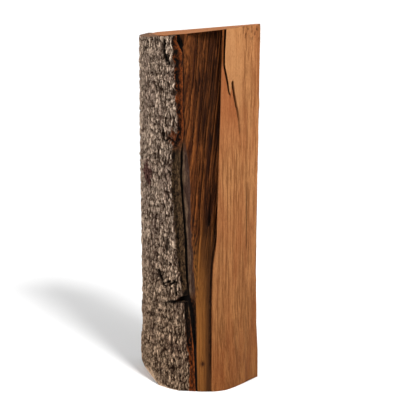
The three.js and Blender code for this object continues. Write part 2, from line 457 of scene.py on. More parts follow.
def shape_wood(x, y, z, names, torn_depth):
    """The wood's relief: how deep each point is cut, the traits of its colours, and how far round it is."""
    whole = np.ones_like(z)
    hidden, strip, hollow, step, face, thin, back = ((names == name) * whole for name in WOOD_COLUMNS)
    middle = len(z) // 2
    steps = np.hypot(np.roll(x, -1, axis=1) - x, np.roll(y, -1, axis=1) - y)[middle]
    around = (np.cumsum(steps) - steps) * whole
    foot, edge, corner = (along(line, z) for line in (STEP_FOOT, STEP_EDGE, SPLIT_CORNER))
    bark_end = along(BARK_INNER_EDGE, z)
    below_top = z[-1:] - z

    # The torn hollow: long slivers that lean to the left as they come down.
    leaning = x - np.interp(z, (0, 90, 160, 260, 404), (0, 0, 3, 11, 24))
    torn = hollow + step
    wild = 0.16 + 0.84 * ease(112, 195, z)
    tone_a, lean_a = torn_slivers(leaning, z, 11, 4.2, 95)
    tone_b = torn_slivers(leaning, z, 21, 1.9, 60)[0]
    slits = slits_along(leaning, z, 31, HOLLOW_SLITS)
    slivers = 1.3 * tone_a + 0.5 * lean_a + 0.6 * tone_b + 1.9 * slits
    slivers += 0.2 * rough(leaning / 0.9, z / 30, 38, 2)
    cut = torn * wild * slivers * (0.35 + 0.65 * np.clip((x - corner) / 3.0, 0, 1)) * torn_depth

    # A pit where a knot has pulled out with a slit running up from it, painted dark as shadow, and a small
    # knot near the base.
    slit_x = np.interp(z, (186, 226), (8.0, 11.6))
    slit_width = np.interp(z, (186, 200, 226), (2.4, 1.6, 0.9))
    pit = hump(x, slit_x, slit_width) * ease(184.5, 188.5, z) * ease(229, 205, z)
    knot = hump(np.hypot(x - 2.6, (z - 32) * 0.8), 0, 4.0)

    # Low down, the step is only a groove beside the proud edge of the face, painted dark as shadow.
    groove = hump(x, foot - 0.9 + 0.9 * rough(z / 5, 0, 42, 3), 2.0) * ease(215, 150, z) * ease(10, 40, z)
    groove = groove * (0.85 + 0.35 * waves(z / 13, 0, 41))
    cut += hollow * (pit * 4.0 + groove * 2.1 + knot * 0.8)

    # The face: fine straight grain, the splinter and the layer under it, a low facet, a fine line, and
    # small pits near the top right corner.
    grain = 0.11 * rough(x / 0.9, z / 60, 43, 3) + 0.35 * waves(x / 8, z / 130, 44)
    lower, crack = splinter_shape(x, z)
    facet = 1.1 * ease(51.2, 53.6, x) * ease(66.5, 60, x) * ease(140, 90, z)
    ragged = np.maximum(hump(x, edge, 1.2) * (0.1 + 0.22 * rough(z / 5, x / 6, 45, 3)), 0)
    line = hump(x, FINE_LINE_X + 0.3 * waves(z / 30, 0, 46), 1.1) * ease(146, 162, z) * ease(236, 205, z)
    nicks = ease(0.25, 0.5, waves(x / 2.3, z / 5.5, 47)) * ease(384, 394, z) * ease(44, 52, x)
    cut += face * (grain + 1.9 * lower + 7.5 * crack + facet + ragged + 0.8 * line + 1.3 * nicks)

    # The bare outer wood beside the bark: a rounded strip, a deep hole in the top corner, and a low cavity.
    top_hole = strip * ease(379, 384, z) * ease(-31.5, -28, x) * ease(-16.9, -19.5, x)
    cavity = strip * ease(47, 56, z) * ease(113, 98, z) * ease(-1, 1, x - bark_end)
    flecks = ease(0.0, 0.5, rough(around / 1.4, z / 3.6, 52, 3))
    cut += strip * (0.55 * rough(around / 1.7, z / 14, 51, 3) + 0.25) + top_hole * 4.0
    cut += cavity * (3.4 - 1.4 * flecks) * ease(corner, corner - 3.5, x)

    # The thin edge and the back split face.
    sloping = around - 0.04 * z
    tone_c, lean_c = torn_slivers(sloping, z, 63, 7.5, 130)
    slits_c = slits_along(sloping, z, 73, BACK_SLITS)
    back_rough = back * (0.4 + 0.6 * ease(-0.3, 0.4, waves(around / 34, z / 90, 64)))
    cut += thin * (0.3 + 0.45 * rough(around / 2.5, z / 30, 61, 3))
    cut += back_rough * (1.3 * tone_c + 1.2 * slits_c + 0.45 * lean_c)
    cut += back * (0.16 * rough(around / 1.3, z / 50, 65, 3) + 0.7 * waves(around / 22, z / 100, 66))

    # A chip out of the round side's foot, where the bark is gone too, and the broken rims of the saw cuts.
    turn = angle_at(x, y)
    bare = (hidden + strip) * ease(172, 178, turn) * ease(226, 216, turn)
    cut += bare * (2.2 * ease(6, 0, z) + 0.5 * rough(around / 4, z / 5, 69, 2))
    rim = np.exp(-below_top / 1.6) + (1.0 - 0.8 * face - 0.8 * thin) * np.exp(-z / 2.0)
    cut += rim * (0.35 + 0.5 * np.abs(rough(around / 1.7, z / 3, 67, 2)))

    # Colours of the hollow and the back.
    left_of_crack = face * ease(0.3, -0.3, x - along(SPLINTER_LEFT, z)) * ease(356, 368, z)
    torn_all = torn + strip + left_of_crack + 0.45 * back_rough * ease(0.2, 0.9, tone_c)
    smooth = hollow * ease(212, 140, z + 16 * waves(x / 4, z / 40, 76))
    # Painted shadow: the slits, the pit and the step's groove are darkened, and the knot with them.
    slit = torn * (0.25 + 0.75 * wild) * slits + 0.6 * back_rough * slits_c
    slit = np.clip(slit + hollow * (pit + groove + 0.85 * knot), 0, 1)
    leftness = 0.22 * ease(foot - 8, corner + 2, x)
    rightness = ease(corner + 2, foot - 1, x + 1.3 * waves(x / 3, z / 60, 86))
    tone = np.where(torn > 0, 0.18 + 0.30 * tone_a + 0.25 * tone_b + leftness,
                    0.5 + 0.5 * waves(around / 5, z / 150, 68))
    tone += smooth * (1 - rightness - tone)
    shade = torn * ease(foot - 16, foot - 8, x) * ease(150, 240, z) * (1 - 0.8 * ease(foot - 4, foot, x))

    # Colours of the face.
    flap_end = 46 + 1.5 * waves(z / 30, 0, 77)
    flap = face * (1 - lower) * ease(262, 335, z) * ease(flap_end + 3.5, flap_end - 3.5, x)

    # Colours of the strip beside the bark, of the bare foot and of the rims.
    gap_width = 1.6 + 1.7 * ease(104, 122, z) * ease(280, 262, z) + 0.4 * waves(z / 11, 0, 79)
    gap = strip * ease(gap_width + 1.2, gap_width, x - bark_end)
    across_strip = (x - bark_end) / np.maximum(corner - bark_end, 1)
    across_strip += 0.25 * rough(around / 4, z / 18, 78, 3)
    weathered = strip * ease(100, 116, z) * ease(290, 266, z)
    weathered *= 1 - 0.8 * ease(0.85, 1.15, across_strip) * ease(215, 190, z)
    ragged_corner = (strip + hollow) * hump(x - corner, 0.8, 4.5) * ease(206, 190, z) * ease(92, 118, z)
    ragged_corner = ragged_corner * ease(0.0, 0.3, rough(around / 1.1, z / 5, 85, 3))
    fresh = bare * ease(17, 13, z + 2.5 * waves(around / 3, z / 4, 87)) * ease(207, 203, turn)
    old_bare = bare * (1 - fresh)
    # Painted shadow, near black: in the splinter's cracks, the nicks, the fine line, the gap beside the
    # bark, the top hole, the cavity and the pit, and mottled on the bare wood under the raised foot of the
    # bark; also black flecks along the ragged corner.
    black = face * (crack + 0.8 * nicks + 0.7 * line) + 0.35 * top_hole + gap
    black = np.clip(black + cavity * (0.97 - 0.75 * flecks) + hollow * pit + 0.9 * ragged_corner, 0, 1)
    black = np.maximum(black, old_bare * (0.3 + 0.6 * ease(0.0, 0.5, rough(around / 1.4, z / 3, 88, 2))))
    frayed = 0.8 * (torn + strip + hidden) * ease(1.9, 0.9, below_top + 0.7 * waves(around / 2, 0, 80))
    traits = {"torn": torn_all, "smooth": smooth, "slit": slit, "tone": tone, "shade": shade, "flap": flap,
              "under_layer": face * lower, "low": face * np.clip(1 - z / TOTAL_HEIGHT, 0, 1) ** 1.6,
              "crack": black, "weathered": weathered + old_bare,
              "strip_side": ease(0.30, 0.70, across_strip),
              # Painted shade on the round side under the bark and in the gap beside the bark's edge.
              "hidden": (hidden + gap) * (1 - bare) * ease(1.0, 2.6, below_top),
              "fresh": fresh, "frayed": frayed}
    return cut, traits, around[0]


def wood_lid(outline, plane, seed):
    """A saw cut with saw marks and drying checks: the top one on a plane, and the base without one."""
    triangles, spots = lid_faces(outline, 1.75, seed)
    every = np.concatenate((outline, spots))
    x, y = spots.T
    relief = 0.16 * np.sin((x * 0.5 + y) / 0.9 + 2.5 * waves(x / 30, y / 30, seed + 2))
    relief = relief + 0.12 * rough(x / 3, y / 3, seed + 3, 2)
    turn = np.arctan2(y - PITH[1], x - PITH[0])
    out = np.hypot(y - PITH[1], x - PITH[0])
    spoke = np.round(turn / CHECK_SPACING)
    nearest = spoke * CHECK_SPACING + 0.5 * waves(spoke * 1.7, 0.5, seed + 6)
    checks = hump(turn * out, nearest * out + 1.5 * waves(out / 9, turn * 3, seed + 4), 0.9)
    checks = checks * ease(10, 22, out) * ease(64, 40, out)
    checks = checks * ease(0.0, 0.3, waves(turn * 3, out / 30, seed + 5))
    if plane is None:
        height = 0.35 + relief * 0.8 + 1.2 * checks
    else:
        height = plane[0] + x * plane[1] + y * plane[2] - 0.25 + relief - 1.1 * checks
    flat = on_map(every, (-75, -65), (150, 130), (0.805, 0.0 if plane is None else 0.5), (0.19, 0.48))
    triangles = facing(triangles, every, plane is not None)
    return Lid(triangles, np.stack((x, y, height), axis=1), flat, True, {})


def tube_places(rows, columns, around, span, quads):
    """Where each corner of a tube's faces lies on its flat map, opened at the first column."""
    width = np.concatenate((around, [around[-1] * 2 - around[-2]]))
    across = (width - width[0]) / (width[-1] - width[0]) * span
    row, column = quads // columns, quads % columns
    wrap = (column == 0) & (np.roll(column, 1, axis=1).max(axis=1) > 1)[:, None]
    column = np.where(wrap, columns, column)
    return np.stack((across[column], row / (rows - 1)), axis=-1).reshape(-1, 2)


def build_wood(settings):
    """The wood as one closed mesh: its sides from base to top, and a lid at each saw cut."""
    tree = surface_of("split_wood")
    plane = cut_plane(tree)
    x, y, z, names = wood_base(tree, plane)
    cut, traits, around = shape_wood(x, y, z, names, settings.torn_depth)
    sides = np.stack((*cut_towards_core(x, y, cut), z), axis=-1)
    lids = (wood_lid(sides[0, :, :2], None, 81), wood_lid(sides[-1, :, :2], plane, 83))
    materials = (split_wood_material(settings), sawn_end_material(settings))
    make_piece("split_wood_detail", sides, around, WOOD_MAP_SPAN, lids, traits, materials,
               "split_wood")


# ---------------------------------------------------------------- the bark's shape

BARK_COLUMNS = (262, 24, 20, 6)  # of the outer face, the broken front edge, the inner face and the back
UPPER_ROWS, LOWER_ROWS = 300, 104
TABLE_ANGLES = np.linspace(152, 262, 56)
TABLE_HEIGHTS = np.linspace(2, 396, 60)
INNER_RADIUS = 69.0  # of the bark's inner face
LID_RADIUS = 73.0  # at which the bark's ends are unrolled
MIDDLE_RADIUS = 73.5  # half way through the bark
FRONT_ANGLE = 255.0  # at which the inner face's radius is read for the front edge

# Cracks in the bark's outer face, dug in and painted black as shadow, as (half width, strength, points),
# each point being (x, height).
BARK_GASHES = (
    (1.9, 1.0, ((-37.1, 388), (-37.8, 376), (-35.6, 366))),
    (1.5, 1.0, ((-33.5, 372), (-32.4, 363))),
    (1.5, 1.0, ((-39.8, 295), (-39.5, 285))),
    (1.3, 1.0, ((-39.0, 283), (-37.3, 280), (-34.9, 281), (-32.9, 284), (-30.7, 282), (-28.5, 280))),
    (1.2, 0.8, ((-37.4, 155), (-37.1, 164), (-35.6, 171), (-33.7, 163))),
    (1.7, 1.0, ((-46.8, 134), (-44.8, 126.5), (-38.9, 118))),
    (1.2, 1.0, ((-37.2, 121.5), (-35.4, 124), (-32.7, 121.5), (-32.1, 117))),
    (1.4, 1.0, ((-30.3, 122), (-28.7, 125), (-26.4, 124.2), (-26.8, 116), (-26.7, 109.5))),
)


def filled(values):
    """The table with its missing entries taken from the nearest ones up or down, then to the side."""
    values = values.copy()
    for lines in (values.T, values):
        for line in lines:
            known = ~np.isnan(line)
            if known.any():
                line[:] = np.interp(np.arange(len(line)), np.flatnonzero(known), line[known])
    return values


def bark_radii():
    """Tables of the frame's bark radius inside and outside, by height and angle round the pith."""
    tree = surface_of("bark_upper", "bark_lower")
    inner = np.full((len(TABLE_HEIGHTS), len(TABLE_ANGLES)), np.nan)
    outer = inner.copy()
    for row, height in enumerate(TABLE_HEIGHTS):
        last = edge_angle(BARK_OUTER_EDGE, height, BARK_RADIUS)
        middle = Vector((*PITH, height))
        for column, angle in enumerate(TABLE_ANGLES):
            way = Vector((math.cos(math.radians(angle)), math.sin(math.radians(angle)), 0))
            near, near_facing = tree.ray_cast(middle, way)[:2]
            far, far_facing = tree.ray_cast(middle + way * 120, -way)[:2]
            if near is not None and abs(near_facing.z) < 0.3:
                inner[row, column] = (near - middle).length
            if far is not None and abs(far_facing.z) < 0.3 and angle < last - 1:
                outer[row, column] = (far - middle).length
    return filled(inner), filled(outer)


def look_up(table, angle, height):
    """A table's value between its entries."""
    column = np.interp(angle, TABLE_ANGLES, np.arange(len(TABLE_ANGLES)))
    row = np.interp(height, TABLE_HEIGHTS, np.arange(len(TABLE_HEIGHTS)))
    left = np.minimum(column.astype(int), table.shape[1] - 2)
    below = np.minimum(row.astype(int), table.shape[0] - 2)
    right, up = column - left, row - below
    low = table[below, left] * (1 - right) + table[below, left + 1] * right
    high = table[below + 1, left] * (1 - right) + table[below + 1, left + 1] * right
    return low * (1 - up) + high * up


def slab_ends(name):
    """The heights of a slab's foot and head at each angle of the table, read from the frame."""
    tree = surface_of(name)
    ends = []
    for start, way in ((-50, 1), (500, -1)):
        heights = []
        for angle in TABLE_ANGLES:
            place = Vector((*round_pith(angle, MIDDLE_RADIUS), start))
            spot, direction = tree.ray_cast(place, Vector((0, 0, way)))[:2]
            heights.append(np.nan if spot is None or direction.z * way > -0.6 else spot.z)
        ends.append(filled(np.array([heights]))[0])
    return ends


def edge_angle(edge, height, radius):
    """The angle round the pith at which the bark's front edge lies."""
    return 360 - np.degrees(np.arccos((along(edge, height) - PITH[0]) / radius))


def bark_relief(around, z):
    """The bark's flakes, furrows and plates: depth under its outer surface, and traits of its colours."""
    bend = 1.3 * waves(around / 12, z / 28, 101) + 0.9 * waves(around / 4.2, z / 8, 102)
    rise = 1.2 * waves(around / 7, z / 15, 103)
    border, tone, aside = cells((around + bend) / 1.5, (z + rise) / 9.0, 111)
    strands = np.abs(waves((around + 1.4 * bend) / 1.7, (z + rise) / 16, 121))
    small = np.abs(waves((around + bend) / 1.25, z / 3.2, 122))
    plate_border, plate_tone, _ = cells((around + 2 * bend) / 8.5, (z + rise) / 34, 131, 1.0)
    slits = 1 - ease(0.0, 0.40, border)
    creases = 1 - ease(0.0, 0.34, strands)
    furrows = (1 - ease(0.02, 0.17, plate_border)) * ease(-0.3, 0.5, waves(around / 13, z / 30, 132))
    pits = ease(0.22, 0.46, waves((around + bend) / 1.7, z / 8.0, 134))
    fine = 1 - ease(0, 0.4, small)
    depth = 1.3 * slits + 0.9 * tone + 0.5 * aside + 2.0 * creases + 0.4 * fine
    depth += 1.3 * furrows + 0.5 * plate_tone + 1.5 * pits + 0.15 * rough(around / 0.9, z / 1.6, 135, 2)
    # The furrow trait darkens the slits, creases, furrows and pits: partly the bark's own darker colour
    # there, partly painted shade.
    dark = np.clip(0.65 * slits + 0.85 * creases + 0.6 * furrows + 0.70 * pits + 0.1 * fine, 0, 1)
    return depth - 1.9, {"furrow": dark, "flake": tone}


def bark_scars(x, z):
    """Deep cracks and broken places in the bark's face, by x and height, which are dug in and painted black
    as shadow.
    """
    scars = np.zeros_like(z)
    for width, strength, points in BARK_GASHES:
        for (x0, z0), (x1, z1) in zip(points[:-1], points[1:]):
            run_x, run_z = x1 - x0, z1 - z0
            share = np.clip(((x - x0) * run_x + (z - z0) * run_z) / (run_x ** 2 + run_z ** 2), 0, 1)
            away = np.hypot(x - x0 - share * run_x, z - z0 - share * run_z)
            scars = np.maximum(scars, strength * np.clip(1.9 - 1.5 * away / width, 0, 1))
    return scars


def slab_front(heights, inner_table):
    """The angles where a slab's outer and inner faces end at the front, and how far the inner one lifts."""
    ragged = (1.3 * waves(heights / 8, 0, 141) + 0.8 * waves(heights / 2.6, 0, 142)) / BARK_RADIUS
    outer_end = edge_angle(BARK_OUTER_EDGE, heights, BARK_RADIUS) + np.degrees(ragged)
    lifting = 2.2 * ease(104, 125, heights) * ease(394, 372, heights)
    inner_end = edge_angle(BARK_INNER_EDGE, heights, look_up(inner_table, FRONT_ANGLE, heights) + lifting)
    inner_end = np.maximum(inner_end, outer_end + 1.2) + 0.3 * waves(heights / 5, 0, 143)
    return outer_end, inner_end, lifting


def slab_heights(node, angles, arc, upper):
    """The heights of a slab's foot and head, with ragged ends and a gape at the front of the crack."""
    foot, head = (np.interp(angles, TABLE_ANGLES, line) for line in slab_ends(node))
    jag = 1.9 * waves(arc / 9, 0, 151) + 1.4 * waves(arc / 3.6, 0, 152) + 1.0 * waves(arc / 1.6, 0, 153)
    closed = 0.56 * ease(237, 231, angles)
    gape = ease(240, 249, angles)
    if upper:
        foot = foot + jag - closed + 2.0 * gape
        head = head - 0.7 * np.abs(rough(arc / 4, 0, 154, 3)) + 0.5
    else:
        head = head + jag + closed - 1.4 * gape
        foot = foot + 10.0 * hump(angles, 210.5, 14)
        foot = np.maximum(foot + 1.2 * ease(0.5, 4, foot) * rough(arc / 5, 0, 155, 3), 0)
    return foot, head


def broken_edge(across, share, z, from_foot, from_head, from_break):
    """The broken front edge: how deep it is dug, and the traits of its colours.

    It has a groove under the outer flakes, torn fibres, and low down a hollow and crumbs of inner bark.
    """
    wide = ease(268, 288, z)
    groove = hump(share, 0.20 + 0.10 * wide, 0.34 + 0.26 * wide)
    groove = groove * ease(0.0, 0.4, 0.6 + waves(z / 26, 0, 161)) * ease(40, 70, z)
    hollow = hump(share, 0.52, 0.50) * ease(46, 56, z) * ease(112, 98, z)
    fibres = rough(across / 1.5 + z / 9, z / 6, 162, 3)
    old_break = ease(270, 255, z) * ease(108, 120, z)
    shadows = ease(0.05, 0.45, rough(across / 2.6, z / 10, 165, 3))
    crumb_border, crumb_tone, _ = cells(across / 1.7, z / 2.6, 163)
    crumbly = ease(60, 48, z)
    fade = np.sin(np.pi * share) ** 0.6 * ease(0, 4, from_foot) * ease(0, 4, from_head)
    dig = 1.9 * groove + 5.0 * hollow + (0.55 + 0.7 * old_break) * fibres
    dig = dig + 0.9 * crumbly * (1 - ease(0, 0.4, crumb_border))
    flecks = ease(0.0, 0.5, rough(across / 1.6, z / 4.5, 164, 3))
    # Painted shadow: black in the groove under the outer flakes, in the low hollow, in patches of shadow on
    # the old break, near the crack between the slabs, and across the middle of the edge.
    black = groove * (1.2 - 0.7 * old_break - 0.75 * wide * flecks) + 1.3 * hollow * (1 - 0.7 * flecks)
    black = black + 0.7 * shadows * old_break + ease(7, 2, from_break)
    black = np.clip(black + (0.8 - 0.55 * wide) * (1 - flecks) * fade * (1 - old_break), 0, 1)
    return fade * dig, {"black": black, "crumb": crumb_tone * crumbly,
                        "inner_red": ease(262, 292, z) + ease(95, 60, z)}


def slab_lid(x, y, z, on_outer, seed, at_top, upper):
    """An end of a slab: sawn, torn at the crack between the slabs, or chipped where the foot is raised."""
    turn, radius = angle_at(x, y), np.hypot(x - PITH[0], y - PITH[1])
    unrolled = np.stack((np.radians(turn) * LID_RADIUS, radius), axis=1)
    triangles, spots = lid_faces(unrolled, 1.5, seed)
    every = np.concatenate((unrolled, spots))
    # Angles grow to the left seen from above, so the unrolled outline is a mirror image of the plan.
    triangles = facing(triangles, every, not at_top)
    spot_turn = np.degrees(spots[:, 0] / LID_RADIUS)
    order = np.argsort(turn[on_outer])
    spot_z = np.interp(spot_turn, turn[on_outer][order], z[on_outer][order])
    relief = 0.5 * rough(spots[:, 0] / 2, spots[:, 1] / 2, seed + 1, 2)
    spot_z = spot_z - 0.3 + relief if at_top else np.maximum(spot_z + 0.3 + relief, 0.05)
    inner = np.stack((*round_pith(spot_turn, spots[:, 1]), spot_z), axis=1)
    flat = on_map(every[:, ::-1], (64, 185), (20, 150), (0.87, 0.5 if at_top else 0.0), (0.12, 0.49))
    # Painted shade: the torn ends at the crack between the slabs are darkened, and the chipped foot a
    # little.
    if at_top or upper:
        return Lid(triangles, inner, flat, at_top and upper, {"broken": 1.0, "black": 0.6})
    sawn = np.concatenate((z, spot_z))[triangles].max(axis=1) < 1.5
    return Lid(triangles, inner, flat, sawn, {"broken": 0.7, "black": 0.25})


def build_slab(name, node, rows, radii, settings, upper):
    """One slab of bark as a closed mesh: outer face, broken front edge, inner face and back edge."""
    inner_table, outer_table = radii
    share = np.linspace(0, 1, rows)[:, None]
    foot_height, rise = (106, 290) if upper else (0, 104)
    outer_end, inner_end, lifting = slab_front(foot_height + share * rise, inner_table)
    outer, front, inner, back = BARK_COLUMNS
    front_share = np.linspace(0, 1, front + 2)[1:-1]
    back_share = np.linspace(0, 1, back + 2)[1:-1]
    angles = np.concatenate((BARK_BACK_ANGLE + (outer_end - BARK_BACK_ANGLE) * np.linspace(0, 1, outer),
                             outer_end + (inner_end - outer_end) * front_share,
                             BARK_BACK_ANGLE + (inner_end - BARK_BACK_ANGLE) * np.linspace(1, 0, inner),
                             np.full((rows, back), BARK_BACK_ANGLE)), axis=1)
    side_numbers = np.repeat(np.arange(4), BARK_COLUMNS)
    on_outer, on_front, on_inner, on_back = (side_numbers == number for number in range(4))
    arc = np.radians(angles) * BARK_RADIUS
    foot, head = slab_heights(node, angles, arc, upper)
    z = foot + share * (head - foot)

    # Radii. The inner face lifts off the wood towards the front edge, which opens a dark gap there.
    outer_radius, inner_radius = look_up(outer_table, angles, z), look_up(inner_table, angles, z)
    thickness = outer_radius - inner_radius
    depth, traits = bark_relief(arc, z)
    scars = bark_scars(round_pith(angles, BARK_RADIUS)[0], z)
    from_break = z - foot if upper else head - z
    from_edge = np.radians(outer_end - angles) * BARK_RADIUS
    depth = depth * settings.flake_depth + 3.2 * scars + 0.9 * ease(2.5, 0, from_edge)
    proud = 0.0 if upper else (1.2 * ease(60, 78, z) + 2.0 * ease(60, 40, z)) * ease(215, 192, angles)
    at_break = ease(231, 237, angles)
    end_wear = np.exp(-(head - z) / 1.6) * (1.0 if upper else at_break)
    end_wear = end_wear + np.exp(-(z - foot) / 1.6) * (at_break if upper else 1.0)
    end_wear = 1.4 * end_wear * np.abs(rough(arc / 3, z / 3, 156, 2))
    outer_face = outer_radius + proud - np.minimum(depth + end_wear, 0.72 * thickness)
    lift = lifting * ease(10, 0, np.radians(inner_end - angles) * INNER_RADIUS)
    inner_face = np.minimum(inner_radius + np.minimum(lift, 0.5 * thickness), outer_radius - 1.2)
    radius = np.where(on_outer, outer_face, inner_face)
    start, end = outer_face[:, [outer - 1]], inner_face[:, [outer + front]]
    radius[:, on_front] = start + (end - start) * front_share
    last = inner_face[:, [-back - 1]]
    radius[:, on_back] = last + (outer_face[:, [0]] - last) * back_share

    # The broken edge is dug in along its own outward directions.
    across = front_share * np.hypot(start - end, np.radians(inner_end - outer_end) * LID_RADIUS)
    dig, edge_traits = broken_edge(across, front_share, z[:, on_front], (z - foot)[:, on_front],
                                   (head - z)[:, on_front], from_break[:, on_front])
    dig = np.minimum(dig, np.maximum((radius - inner_face)[:, on_front] - 0.5, 0))
    x, y = round_pith(angles, radius)
    out_x, out_y = outward(x, y, 2)
    x[:, on_front] -= out_x[:, on_front] * dig
    y[:, on_front] -= out_y[:, on_front] * dig

    # A burst of reddish inner bark near the front edge, and a patch of darker bark round the side.
    burst_away = np.hypot((angles - 240) / 8, (z - 285) / 9) + 0.5 * rough(arc / 3, z / 4, 159, 2)
    burst = on_outer * ease(1.0, 0.5, burst_away)
    patch_away = np.hypot((angles - 207) / 9.5, (z - 241) / 17) + 0.35 * rough(arc / 5, z / 9, 158, 3)
    # Painted shadow: darker along the crack between the slabs, and black in the scars and at the crack
    # itself.
    traits["furrow"] = np.maximum(traits["furrow"], 0.75 * ease(1.7, 0.3, from_break)) * on_outer
    traits["black"] = (scars + 0.9 * at_break * ease(0.9, 0.2, from_break)) * on_outer
    traits["crumb"] = np.zeros_like(z)
    traits["inner_red"] = burst
    for trait, values in edge_traits.items():
        traits[trait][:, on_front] = values
    traits["broken"] = np.maximum((on_front | on_inner | on_back) * 1.0, 0.8 * burst)
    traits["patch"] = on_outer * ease(1.0, 0.6, patch_away)
    traits["low"] = ease(240, 20, z)

    around = np.concatenate(([0], np.cumsum(np.hypot(np.diff(x[rows // 2]), np.diff(y[rows // 2])))))
    lids = (slab_lid(x[0], y[0], z[0], on_outer, 171, False, upper),
            slab_lid(x[-1], y[-1], z[-1], on_outer, 173, True, upper))
    materials = (bark_material(settings), bark_end_material(settings))
    make_piece(name, np.stack((x, y, z), axis=-1), around, BARK_MAP_SPAN, lids, traits, materials,
               node)


# ---------------------------------------------------------------- materials

def linear(red, green, blue):
    """A colour of 0 to 255 as the shader's own numbers."""
    parts = (part / 255 for part in (red, green, blue))
    return tuple(part / 12.92 if part <= 0.04045 else ((part + 0.055) / 1.055) ** 2.4 for part in parts)


class Nodes:
    """A material's nodes, added one by one. A colour can be given as the name of its setting."""

    def __init__(self, name, settings=None):
        self.material = bpy.data.materials.new(name)
        self.material.use_nodes = True
        self.tree = self.material.node_tree
        self.shader = self.tree.nodes["Principled BSDF"]
        self.settings = settings

    def wire(self, socket, value):
        """Sets a socket to a number or colour, or links it to another node's output."""
        if isinstance(value, str):
            value = tuple(getattr(self.settings, value))
        if isinstance(value, bpy.types.NodeSocket):
            self.tree.links.new(value, socket)
        elif isinstance(value, tuple) and len(value) == 3 and socket.type == "RGBA":
            socket.default_value = (*value, 1.0)
        else:
            socket.default_value = value

    def add(self, kind, output, inputs, **options):
        """One of the outputs of a new node."""
        node = self.tree.nodes.new("ShaderNode" + kind)
        for option, value in options.items():
            setattr(node, option, value)
        for socket, value in inputs.items():
            self.wire(node.inputs[socket], value)
        return node.outputs[output]

    def trait(self, name):
        """One of the mesh's traits."""
        return self.add("Attribute", "Fac", {}, attribute_name=name)

    def math(self, operation, first, second=0.0):
        """One step of arithmetic on one value or two."""
        return self.add("Math", 0, {0: first, 1: second}, operation=operation)

    def total(self, *parts):
        """The sum of values, each times the weight that follows it."""
        whole = None
        for value, weight in parts:
            part = value if weight == 1 else self.math("MULTIPLY", value, weight)
            whole = part if whole is None else self.math("ADD", whole, part)
        return whole

    def mix(self, factor, low, high, share=1, blend="MIX"):
        """low where the factor is 0, and high as far as the share allows where it is 1."""
        inputs = {"Factor": self.total((factor, share)), "A": low, "B": high}
        return self.add("Mix", "Result", inputs, data_type="RGBA", blend_type=blend)

    def tint(self, factor, base, shade, share=1):
        """base multiplied by shade, as far as the factor and the share say."""
        return self.mix(factor, base, shade, share, "MULTIPLY")

    def spread(self, value, low, high):
        """value between low and high, as 0 to 1."""
        inputs = {"Value": value, "From Min": low, "From Max": high}
        return self.add("MapRange", "Result", inputs, interpolation_type="SMOOTHSTEP")

    def grain(self, size, detail=3.0, roughness=0.55, warp=0.0, shift=0.0, lean=0.0):
        """Noise whose spots are size millimetres along x, y and z, and lean towards +X by an angle."""
        stretch = {"Vector": self.add("TexCoord", "Object", {}), "Scale": tuple(part * MM for part in size),
                   "Location": (shift, shift * 0.7, shift * 1.3), "Rotation": (0, lean, 0)}
        place = self.add("Mapping", "Vector", stretch, vector_type="TEXTURE")
        noise = {"Vector": place, "Scale": 1.0, "Detail": detail, "Roughness": roughness}
        return self.add("TexNoise", "Fac", {**noise, "Distortion": warp})

    def rings(self, spacing, wobble):
        """Growth rings round the pith, from 0 to 1 across each ring."""
        place = self.add("TexCoord", "Object", {})
        x, y = (self.math("SUBTRACT", self.add("SeparateXYZ", axis, {"Vector": place}), middle * MM)
                for axis, middle in zip("XY", PITH))
        radius = self.math("SQRT", self.total((x, x), (y, y)))
        bend = self.math("SUBTRACT", self.grain((26, 26, 130), 2.0), 0.5)
        whole = self.total((radius, 1), (bend, wobble * MM))
        return self.math("FRACT", self.math("DIVIDE", whole, spacing * MM))

    def finish(self, colour, roughness, height, bump, specular):
        """Links the last colour, roughness and bump to the shader."""
        self.wire(self.shader.inputs["Base Color"], colour)
        self.wire(self.shader.inputs["Roughness"], roughness)
        self.shader.inputs["Specular IOR Level"].default_value = specular
        bumps = {"Strength": 1.0, "Distance": bump * MM, "Height": height}
        self.wire(self.shader.inputs["Normal"], self.add("Bump", "Normal", bumps))
        return self.material


def face_colour(nodes, lines, clouds, hairs, specks):
    """The smooth split face, the layer under the splinter and the splinter itself."""
    face = nodes.mix(nodes.spread(lines, 0.43, 0.57), "face_dark", "face_pale")
    face = nodes.mix(nodes.spread(clouds, 0.35, 0.7), face, "face_red", 0.45)
    face = nodes.mix(nodes.trait("under_layer"), face, "face_red", 0.7)
    flap = nodes.mix(nodes.spread(clouds, 0.36, 0.60), "face_pale", "flap_pale")
    face = nodes.mix(nodes.trait("flap"), face, flap, 0.62)
    face = nodes.tint(nodes.trait("low"), face, (0.58, 0.51, 0.40))
    face = nodes.tint(nodes.spread(hairs, 0.52, 0.66), face, (0.62, 0.50, 0.42), 0.40)
    return nodes.tint(nodes.spread(specks, 0.50, 0.70), face, (0.56, 0.46, 0.38), 0.6)


def torn_colour(nodes, lines, streaks):
    """The torn hollow with painted shadow in its leaning splits and beside the step, and its smooth lower
    part.
    """
    tone = nodes.spread(nodes.total((nodes.trait("tone"), 0.6), (lines, 0.6)), 0.25, 0.85)
    torn = nodes.mix(tone, "torn_dark", "torn_light")
    torn = nodes.tint(nodes.trait("shade"), torn, (0.78, 0.76, 0.70))
    torn = nodes.tint(nodes.spread(streaks, 0.52, 0.60), torn, (0.50, 0.42, 0.36), 0.4)
    # Painted shadow: the fine leaning splits are tinted almost black.
    splits = nodes.grain((1.15, 1.15, 60), 1.0, 0.5, 0.15, 2.0, math.radians(6))
    splits = nodes.spread(nodes.math("ABSOLUTE", nodes.math("SUBTRACT", splits, 0.5)), 0.045, 0.01)
    torn = nodes.tint(splits, torn, (0.15, 0.12, 0.12), 0.85)
    smooth = nodes.mix(tone, "smooth_dark", "smooth_brown")
    smooth = nodes.tint(nodes.spread(streaks, 0.52, 0.62), smooth, (0.55, 0.46, 0.40), 0.6)
    return nodes.mix(nodes.trait("smooth"), torn, smooth)


